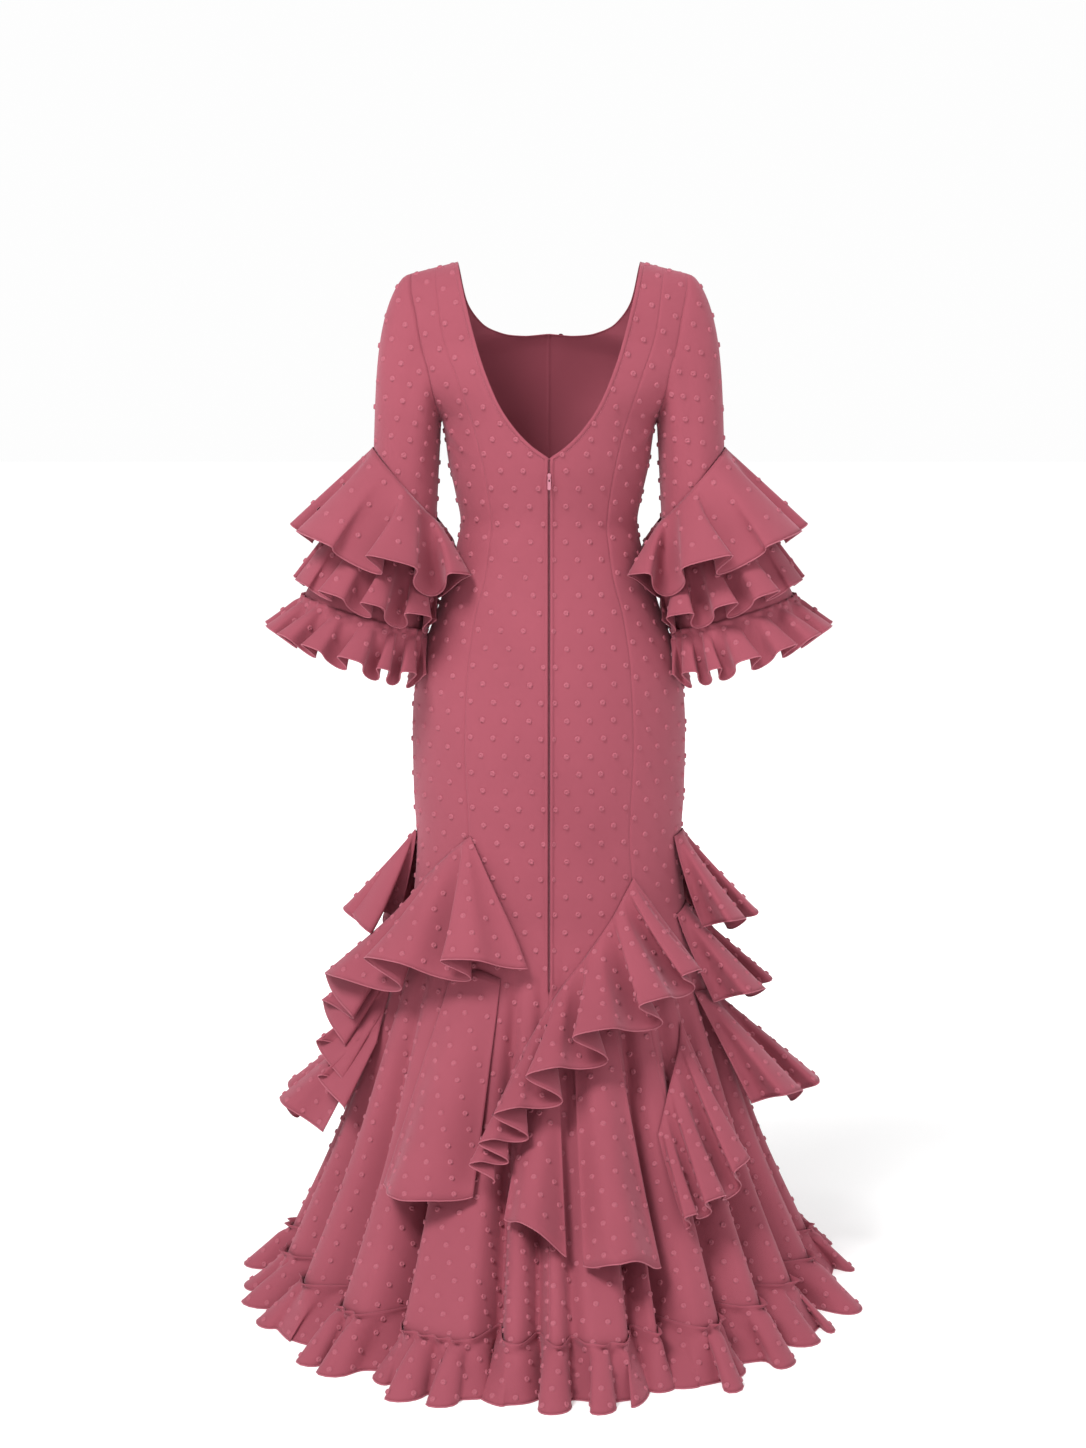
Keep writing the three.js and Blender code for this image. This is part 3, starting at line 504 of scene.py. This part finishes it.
ROSE = (0.300, 0.062, 0.090)
ROSE_DEEP = (0.245, 0.048, 0.071)
# lighter rose: a painted highlight on the dots; the rolled hems and stitches are made in it as well
ROSE_LIGHT = (0.400, 0.108, 0.146)
CREPE = material("dotted_crepe", ROSE, 0.78, crepe_look(ROSE, ROSE_DEEP))
# the dots take the lighter rose as a painted highlight on their raised tops
DOT = material("plumeti_dot", ROSE_LIGHT, 0.7, crepe_look(ROSE_LIGHT, ROSE))
# a real zip coil, whose colour darker than the crepe is painted shade in the gap between the zip's lips
COIL = material("zip_coil", (0.20, 0.045, 0.065), 0.45,
                crepe_look((0.23, 0.052, 0.075), (0.16, 0.035, 0.05)))
METAL = material("zip_metal", (0.52, 0.20, 0.26), 0.32, metal_look)
HEM = material("rolled_hem", ROSE_LIGHT, 0.62, crepe_look(ROSE_LIGHT, ROSE))


# ---------------------------------------------------------------- panels

def line_zip(z):
    """The centre back, or the V above it."""
    return turn_of(np.where(z > V_BOTTOM, look(BACK_NECK, z, 1), 0), z)


def line_princess(z):
    return turn_of(look(PRINCESS, z, 1), z)


def line_side(z):
    """The side seam, or the armhole above it."""
    return np.where(z > ARMPIT_Z, turn_of(look(ARMHOLE, z, 1), z), 90)


def line_centre_front(z):
    """The centre front, or the scoop above it."""
    return 180 - turn_of(np.where(z > SCOOP_BOTTOM, look(FRONT_NECK, z, 1), 0), z)


def in_front(line):
    """The same line, on the front of the body."""
    return lambda z: 180 - line(z)


def panel_heights():
    over = YOKE_Z + (SHOULDER_TOP - YOKE_Z) * np.sin(np.radians(np.linspace(90, 0, 26)))
    scoop = np.linspace(YOKE_Z, SCOOP_BOTTOM, 14)[1:]
    bodice = np.linspace(SCOOP_BOTTOM, V_BOTTOM, 26)[1:]
    skirt = np.linspace(V_BOTTOM, ZIP_END, 70)[1:]
    hem = np.linspace(ZIP_END, GATHER_Z, 52)[1:]
    return np.concatenate([over, scoop, bodice, skirt, hem])


SEAM_DEEP = 0.9               # how far the cloth dips in at a seam
SEAM_HALF = 1.7               # and how wide the dip is
SEAM_COLUMNS = np.array([0, 0.6, 1.2, 2.0, 3.0, 4.5, 7.0])      # mesh columns, by distance from a seam
INNER_COLUMNS = 39            # even columns over the rest of a panel
LEAST_WIDTH = 12              # taken for a panel that runs to a point
COIL_HALF = 1.3               # centre line to the edge of the cloth beside the zip
LIP_WIDE = 4.5                # the folded lip beside the zip
LIP_RISE = 2.2


def panel_columns(wide):
    """Places from 0 to 1 across a panel of these widths, close together beside the seams."""
    edge = SEAM_COLUMNS / wide
    even = np.linspace(0, 1, INNER_COLUMNS + 2)[None, 1:-1]
    return np.concatenate([edge, mix(edge[:, -1:], 1 - edge[:, -1:], even), 1 - edge[:, ::-1]], 1)


def seam_dip(from_start, from_end):
    return SEAM_DEEP * (np.exp(-((from_start / SEAM_HALF) ** 2)) + np.exp(-((from_end / SEAM_HALF) ** 2)))


def zip_lip(from_edge, z):
    """Rise of the folded lip beside the closed zip, which fills the seam's dip."""
    beside = (z <= V_BOTTOM) & (z >= ZIP_END) & (from_edge < LIP_WIDE)
    return np.where(beside, LIP_RISE * np.sin(math.pi * np.clip(from_edge / LIP_WIDE, 0, 1)) + SEAM_DEEP, 0)


def panel_grid(side, start, end, zip_edge):
    """A full-length panel between two lines, which dips into the seam at each edge."""
    z = panel_heights()[:, None]
    a, b = start(z), end(z)
    wide = np.maximum(radius((a + b) / 2, z) * np.radians(b - a), LEAST_WIDTH)
    u = panel_columns(wide)
    gap = np.degrees(np.where(zip_edge & (z >= ZIP_END), COIL_HALF, 0) / radius(a, z))
    turn = side * (a + gap + u * (b - a - gap))
    out = creases(turn, z) - fold_depth(turn, z) - seam_dip(u * wide, (1 - u) * wide)
    if zip_edge:
        out += zip_lip(u * wide, z)
    grid = on_body(turn, z, out)
    return grid if side > 0 else grid[:, ::-1]


# Soft creases laid on the body of the dress: turn, height, slant, length and width in mm, rise.
CREASES = [
    (68, -232, 38, 70, 9, 2.2), (62, -252, 30, 60, 8, -1.8), (-68, -230, -38, 74, 9, 2.2),
    (-60, -256, -30, 58, 8, -1.8), (48, -338, 6, 70, 8, 1.4), (52, -362, -4, 80, 9, -1.5),
    (44, -384, 8, 60, 8, 1.2), (-46, -332, -6, 64, 8, 1.3), (-52, -358, 5, 84, 9, -1.6),
    (-42, -381, -8, 60, 8, 1.2), (130, -345, 6, 80, 9, 1.5), (138, -368, -5, 90, 9, -1.5),
    (-132, -340, -6, 76, 9, 1.4), (-140, -366, 4, 88, 9, -1.5), (118, -236, 34, 70, 10, 2.0),
    (-118, -238, -34, 66, 10, 2.0), (180, -352, 0, 70, 9, 1.2), (20, -372, 5, 50, 8, 0.9),
    (-18, -368, -6, 52, 8, 0.9), (75, -560, 62, 120, 16, 1.4), (-75, -556, -60, 126, 16, 1.4),
]
CREASE_RADIUS = 140           # the body's, taken the same all over for the width of a crease
CREASE_TAPER = 1.6            # over 1, a crease fades before its ends


def creases(turn, z):
    total = 0.0
    for at, height, slant, length, width, rise in CREASES:
        across = np.radians((turn - at + 180) % 360 - 180) * CREASE_RADIUS
        up = z - height
        s, c = math.sin(math.radians(slant)), math.cos(math.radians(slant))
        along, away = across * c + up * s, up * c - across * s
        total = total + rise * np.exp(-((along / length * CREASE_TAPER) ** 2) - (away / width) ** 2)
    return total


# The points of every cloth piece, by name. A piece's place in this order seeds its dots.
grids = {}

PANELS = {
    "centre_back": (line_zip, line_princess),
    "side_back": (line_princess, line_side),
    "side_front": (in_front(line_side), in_front(line_princess)),
    "centre_front": (in_front(line_princess), line_centre_front),
}
for word, side in SIDES:
    for name, (start, end) in PANELS.items():
        grids[f"{name}_{word}"] = panel_grid(side, start, end, zip_edge=name == "centre_back")


# ---------------------------------------------------------------- neck bindings and zip

BINDING_WIDTH = 5
BINDING_RISE = 1.3            # at its rolled middle
BINDING_LAP = 0.4             # how far it stands past the cloth's edge
STITCH = 3.2
STITCH_GAP = 1.6
STITCH_INSET = 1.0            # from the binding's edge
STITCH_RISE = 0.55
THREAD = 0.28                 # its radius


def neck_line(neck, count):
    """Points evenly spaced down a neckline of the +X side: x, z, the way into the cloth, the length."""
    z = np.linspace(SHOULDER_TOP - 0.01, neck[-1][0], 900)
    x = look(neck, z, 1)
    length = np.concatenate([[0], np.cumsum(np.hypot(np.diff(x), np.diff(z)))])
    even = np.linspace(0, length[-1], count)
    x, z = np.interp(even, length, x), np.interp(even, length, z)
    dx, dz = np.gradient(x), np.gradient(z)
    size = np.hypot(dx, dz)
    return x, z, -dz / size, dx / size, length[-1]


def binding_point(side, front, at, across, out):
    """The point of the body at a distance into the cloth from the points of a neck line."""
    x, z, nx, nz, _ = at
    turn = turn_of(np.maximum(x + nx * across, 0.2), z + nz * across)
    return on_body((180 - turn if front else turn) * side, z + nz * across, out)


def binding_grid(neck, side, front):
    at = [part[:, None] if np.ndim(part) else part for part in neck_line(neck, 110)]
    across = np.linspace(0, 1, 9)[None]
    out = BINDING_RISE * np.sin(math.pi * mix(0.12, 0.97, across)) ** 0.6
    grid = binding_point(side, front, at, across * BINDING_WIDTH - BINDING_LAP, out)
    return grid if (side > 0) != front else grid[:, ::-1]


def stitches_object(name, neck, side, front):
    """The row of topstitching along a binding, one small bar for each stitch."""
    length = neck_line(neck, 3)[4]
    count = int(length / (STITCH + STITCH_GAP))
    at = neck_line(neck, count * 3 + 1)
    line = binding_point(side, front, at, BINDING_WIDTH + STITCH_INSET, STITCH_RISE)
    points, faces = [], []
    for i in range(count):
        bar, quads = tube_mesh(line[3 * i:3 * i + 3], THREAD, 5, False)
        faces += [[len(points) + corner for corner in quad] for quad in quads]
        points += bar.tolist()
    obj = mesh_object(name, points, faces, HEM)
    return obj


TOOTH_PITCH = 2.0
TOOTH = (1.15, 0.6, 0.55)     # half length across the zip, half depth and half height
TOOTH_SUNK = 1.2              # behind the cloth
TOOTH_ASIDE = 0.35            # each tooth's middle stands this far to its own side


def teeth_object():
    """The nylon coil down the closed zip, as crossing teeth from both sides, coloured dark as painted
    shade.
    """
    heights = np.arange(V_BOTTOM - 2, ZIP_END, -TOOTH_PITCH)
    corners = np.array([[i, j, k] for i in (-1, 1) for j in (-1, 1) for k in (-1, 1)]) * TOOTH
    box = [(0, 1, 3, 2), (4, 6, 7, 5), (0, 4, 5, 1), (2, 3, 7, 6), (0, 2, 6, 4), (1, 5, 7, 3)]
    points, faces = [], []
    for number, z in enumerate(heights):
        middle = on_body(0, z, -TOOTH_SUNK) + [TOOTH_ASIDE * (-1) ** number, 0, 0]
        faces += [[len(points) + corner for corner in quad] for quad in box]
        points += (middle + corners).tolist()
    obj = mesh_object("zip_teeth", points, faces, COIL, smooth_shaded=False)
    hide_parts("zip_coil")


def bindings():
    for word, side in SIDES:
        for where, neck in (("back", BACK_NECK), ("front", FRONT_NECK)):
            name = f"neck_binding_{where}_{word}"
            band = sheet_object(f"{name}_cloth", binding_grid(neck, side, where == "front"))
            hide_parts(name)
            stitches = stitches_object(f"{name}_stitches", neck, side, where == "front")


# ---------------------------------------------------------------- sleeves

def ring(shape, around):
    """A sleeve ring's points: around is 0 on its outer side and a quarter turn behind the arm."""
    x, y, half, deep, outer, inner = shape
    return np.stack([x + half * np.cos(around), y - deep * np.sin(around),
                     mix(outer, inner, (1 - np.cos(around)) / 2)], -1)


def armhole(around):
    z = mix(SHOULDER_TOP - 0.01, ARMPIT_Z, (1 - np.cos(around)) / 2)
    turn = turn_of(look(ARMHOLE, z, 1), z)
    return on_body(np.where(np.sin(around) >= 0, turn, 180 - turn), z, -SEAM_DEEP)


def sleeve_points(around, t):
    """From the armhole, at 0, to the elbow, with a rounded head that steps out of the seam's dip."""
    p = mix(armhole(around), ring(ELBOW, around), t[..., None])
    outside = (1 + np.cos(around)) / 2
    bulge = CAP * np.sin(math.pi * t ** 0.62)
    p[..., 0] += bulge * outside + 2.5 * SEAM_DEEP * smooth(t * 30)
    p[..., 2] += bulge * 0.3 * outside * (1 - t)
    return p


def push_out(p, clear):
    """Moves the points that come closer to the body than a gap straight out from its axis."""
    turn = np.degrees(np.arctan2(p[..., 0], -p[..., 1]))
    half, deep = section(turn, p[..., 2])
    ratio = np.hypot(p[..., 0] / (half + clear), p[..., 1] / (deep + clear))
    p[..., :2] /= np.minimum(ratio, 1)[..., None]
    return p


def bell_points(around, t):
    return mix(ring(ELBOW, around), ring(BELL, around), np.asarray(t)[..., None])


def bell_outward(around):
    """The level way out from the bell's middle."""
    outward = ring(BELL, around) - [BELL[0], BELL[1], 0]
    outward[..., 2] = 0
    return outward / np.linalg.norm(outward, axis=-1, keepdims=True)


def tier_gather(tier, u, v):
    """Tucks at the stitches of a tier that has a frill, and the flare of the frill above them."""
    if not tier["header"]:
        return 0
    tuck = np.sin(2 * TAU * len(tier["folds"]) * u + 0.8)
    fade = np.clip(np.abs(v) * 8, 0, 1) * np.exp(-((v / 0.35) ** 2))
    return TIER_GATHER * tuck * fade + TIER_FRILL * np.clip(-v, 0, 1)


def tier_points(tier, u, v):
    """A sleeve tier: v is 0 at its stitches, 1 at its hem and below 0 on the frill above."""
    along, depth, wave, curl = folded(tier["folds"], u, ring=True)
    hanging = np.clip(v, 0, 1) ** 0.9
    swell = depth * hanging
    half_width = tier["hem"][2]
    around = (along + TIER_START + curl * hanging) * TAU - TIER_LEAN * swell * wave / (2 * half_width)
    sewn = bell_points(around, np.full_like(around, tier["top"]))
    p = mix(sewn, ring(tier["hem"], around), v[..., None])
    out = TIER_CLEAR + tier_gather(tier, u, v) + swell * ((1 + wave) / 2 - tier["sink"])
    p += bell_outward(around) * out[..., None]
    p[..., 2] += 0.36 * swell * wave
    return push_out(p, tier["clear"])


def mirrored(p, side):
    """A sleeve grid for a side: the +X one's columns turned to face out, or its mirror image."""
    return p[:, ::-1] if side > 0 else p * [-1, 1, 1]


def around_grid(rows, columns):
    return np.meshgrid(np.arange(columns) / columns * TAU, rows)


for word, side in SIDES:
    around, t = around_grid(np.linspace(0, 1, 60), 96)
    grids[f"sleeve_{word}"] = mirrored(sleeve_points(around, t), side)
    around, t = around_grid(np.linspace(0, 1, 16), 96)
    grids[f"sleeve_bell_{word}"] = mirrored(push_out(bell_points(around, t), BELL_CLEAR), side)
    for tier in TIERS:
        rows = np.concatenate([tier["header"], np.linspace(0, 1, 20)])
        around, v = around_grid(rows, len(tier["folds"]) * 26)
        grids[f"sleeve_tier_{tier['number']}_{word}"] = mirrored(tier_points(tier, around / TAU, v), side)


# ---------------------------------------------------------------- skirt ruffles and flounce

def sewn_length(ruffle):
    """Length of the sewn edge, from row to row; a ruffle of one fold hangs flat and has no curl."""
    rows = np.array(ruffle["edge"], float)
    places = on_body(rows[:, TURN], rows[:, HEIGHT])
    return np.linalg.norm(np.diff(places, axis=0), axis=1).sum() if len(ruffle["folds"]) > 1 else 0


def heading(ruffle):
    """1 where the edge rows run towards greater turns, and -1 where they run back."""
    return np.sign(ruffle["edge"][-1][TURN] - ruffle["edge"][0][TURN])


def ruffle_points(ruffle, u, v):
    """A skirt ruffle: u runs along its sewn edge, and v is 0 there and 1 at its hem."""
    along, depth, wave, curl = folded(ruffle["folds"], u)
    sewn, z0, fall, swing, out = (look(ruffle["edge"], along, c) for c in (TURN, HEIGHT, FALL, SWING, OUT))
    hanging = v ** ruffle["late"]
    swell = depth * hanging
    z = z0 - fall * v + 0.3 * swell * wave
    rolled = heading(ruffle) * curl * sewn_length(ruffle) * hanging
    aside = swing * v - ruffle["lean"] * swell * wave / 2 + rolled
    turn = sewn + np.degrees(aside / radius(sewn, z))
    return on_body(turn, z, RUFFLE_START + out * hanging + swell * (1 + wave) / 2)


for name, ruffle in RUFFLES.items():
    u, v = np.meshgrid(np.linspace(0, 1, len(ruffle["folds"]) * 30 + 11), np.linspace(0, 1, 24))
    grid = ruffle_points(ruffle, u, v)
    grids[name] = grid if heading(ruffle) > 0 else grid[:, ::-1]


def widening(turn):
    """How much further out the smooth body's floor edge stands than its gathering line."""
    floor_edge, gather = (np.linalg.norm(on_body(turn, z)[..., :2], axis=-1) for z in (FLOOR_Z, GATHER_Z))
    return floor_edge - gather


def flounce_points(around, v):
    """The gathered hem flounce: v is 0 at the gathering stitches, 1 at the floor and below 0 on the
    frill above."""
    down = np.clip(v, 0, 1)
    place = HEM_FOLDS * (around + 0.035 * np.sin(5 * around) + 0.02 * np.sin(13 * around + 1))
    wave = -np.cos(place) + 0.22 * np.cos(2 * place)
    size = 1 + 0.22 * np.sin(7 * around + 2) + 0.12 * np.sin(17 * around)
    ripple = HEM_RIPPLE * size * down ** 0.5 * wave
    gather = HEM_GATHER * np.sin(2 * place + 0.7) * np.clip(np.abs(v) * 7, 0, 1) * np.exp(-((v / 0.3) ** 2))
    turn = np.degrees(around) - 180
    inset = fold_depth(turn, GATHER_Z) * (1 - 0.35 * down)
    flare = (HEM_FLARE - widening(turn)) * down + HEADER_FLARE * np.clip(-v, 0, 1) / HEADER
    curl = 360 / HEM_FOLDS * CURL * down ** 0.5 * np.sin(2 * place)
    lean = np.degrees(HEM_LEAN * ripple / radius(turn, FLOOR_Z))
    out = flare - inset + ripple + gather + HEM_START
    return on_body(turn + curl - lean, mix(GATHER_Z, FLOOR_Z + 1, v), out)


around, v = around_grid(np.concatenate([[-HEADER, -HEADER / 2], np.linspace(0, 1, 13)]), HEM_FOLDS * 20)
grids["hem_flounce"] = flounce_points(around, v)


# ---------------------------------------------------------------- making the pieces


CLOSED = [name for name in grids if name.startswith("sleeve") or name == "hem_flounce"]
HEMMED = ("long_panel", "tier", "ruffle", "cascade", "flounce")


def piece(name, grid, seed):
    """A piece's cloth with its dots and, where it hangs free, its rolled hem."""
    closed = name in CLOSED
    cloth = sheet_object(f"{name}_cloth", grid, closed)
    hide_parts(name)
    whole = np.concatenate([grid, grid[:, :1]], 1) if closed else grid
    extras = [dots_object(f"{name}_dots", whole, seed)]
    if any(word in name for word in HEMMED):
        extras.append(hem_object(f"{name}_hem", grid[-1], closed))


for number, (name, grid) in enumerate(grids.items()):
    piece(name, grid, number)
bindings()
teeth_object()
for name in ("zip_slider", "zip_pull_tab"):
    metal = bpy.data.objects[name]
    metal.data.materials.clear()
    metal.data.materials.append(METAL)


# ---------------------------------------------------------------- floor, light and camera

FLOOR_REACH = 30.0            # metres from the middle to its edges
SKY_LOW = 0.985
SKY_HIGH = 0.45
AIM = (0, 0, -0.7)
LAMPS = [
    # name, place in metres, watts, size in metres
    ("key", (-3.0, -4.1, 5.2), 560, 2.6),
    ("fill", (2.6, -2.6, 1.2), 30, 2.6),
    ("rim", (0.4, 3.0, 2.4), 45, 2.4),
]
CAMERA_PLACE = (-0.0085, -3.8, -0.12)
CAMERA_TILT = 7.87            # degrees down from level
LENS = 66.5
SENSOR = 36


def floor_look(nodes, links, shader):
    """A pale paper floor with painted shade: round the dress its colour is darker and its glow weaker, so
    that its soft shadow shows; further off it turns whiter and glows a little, to stay white to the
    horizon."""
    place = node(nodes, "ShaderNodeTexCoord")
    grain = node(nodes, "ShaderNodeTexNoise", Scale=3.0, Detail=3.0)
    away = node(nodes, "ShaderNodeVectorMath", operation="LENGTH")
    # ramp of the painted shade: the floor's colour is darkest within 0.8 m of the middle and plain by 4 m
    painted_shade_fade = map_range(nodes, 0.8, 4.0)
    # the glow is weaker near the dress, as part of the painted shade
    glow = map_range(nodes, 0.6, 2.6, 0.10, 0.56)
    # random grain laid over the painted shade ramp
    uneven = node(nodes, "ShaderNodeMath", operation="MULTIPLY_ADD")
    uneven.inputs[1].default_value = 0.04
    shade = node(nodes, "ShaderNodeMix", data_type="RGBA")
    shade.inputs[6].default_value = (0.72, 0.72, 0.72, 1)
    shade.inputs[7].default_value = (0.905, 0.905, 0.905, 1)
    links.new(place.outputs["Object"], grain.inputs["Vector"])
    links.new(place.outputs["Object"], away.inputs[0])
    links.new(away.outputs["Value"], painted_shade_fade.inputs["Value"])
    links.new(away.outputs["Value"], glow.inputs["Value"])
    links.new(grain.outputs["Fac"], uneven.inputs[0])
    links.new(painted_shade_fade.outputs["Result"], uneven.inputs[2])
    links.new(uneven.outputs[0], shade.inputs[0])
    links.new(shade.outputs[2], shader.inputs["Base Color"])
    links.new(glow.outputs["Result"], shader.inputs["Emission Strength"])
    shader.inputs["Emission Color"].default_value = (1, 1, 1, 1)
    shader.inputs["Specular IOR Level"].default_value = 0.1


def add_floor():
    mesh = bpy.data.meshes.new("floor")
    corners = [(-1, -1), (1, -1), (1, 1), (-1, 1)]
    points = [(x * FLOOR_REACH, y * FLOOR_REACH, FLOOR_Z * MM) for x, y in corners]
    mesh.from_pydata(points, [], [(0, 1, 2, 3)])
    mesh.materials.append(material("studio_floor", (0.92, 0.92, 0.92), 0.9, floor_look))
    floor = bpy.data.objects.new("floor", mesh)
    bpy.context.scene.collection.objects.link(floor)


def soft_sky():
    """White at the horizon and dimmer overhead, so that the valleys of the folds stay dark."""
    world = bpy.data.worlds.new("studio")
    world.use_nodes = True
    nodes, links = world.node_tree.nodes, world.node_tree.links
    place = node(nodes, "ShaderNodeTexCoord")
    parts = node(nodes, "ShaderNodeSeparateXYZ")
    height = map_range(nodes, 0.2, 0.6, SKY_LOW, SKY_HIGH)
    links.new(place.outputs["Generated"], parts.inputs[0])
    links.new(parts.outputs["Z"], height.inputs["Value"])
    links.new(height.outputs["Result"], nodes["Background"].inputs["Strength"])
    nodes["Background"].inputs["Color"].default_value = (1, 1, 1, 1)
    return world


def add_lamp(name, place, power, size):
    """A square soft lamp that faces the dress."""
    lamp = bpy.data.lights.new(name, "AREA")
    lamp.energy = power
    lamp.size = size
    obj = bpy.data.objects.new(name, lamp)
    obj.location = place
    obj.rotation_euler = (Vector(AIM) - Vector(place)).to_track_quat("-Z", "Y").to_euler()
    bpy.context.scene.collection.objects.link(obj)


def add_camera():
    data = bpy.data.cameras.new("camera")
    data.sensor_width = SENSOR
    data.lens = LENS
    obj = bpy.data.objects.new("camera", data)
    obj.location = CAMERA_PLACE
    obj.rotation_euler = (math.radians(90 - CAMERA_TILT), 0, 0)
    bpy.context.scene.collection.objects.link(obj)
    bpy.context.scene.camera = obj


bpy.context.scene.view_settings.view_transform = "Standard"
bpy.context.scene.world = soft_sky()
add_floor()
for lamp_row in LAMPS:
    add_lamp(*lamp_row)
add_camera()
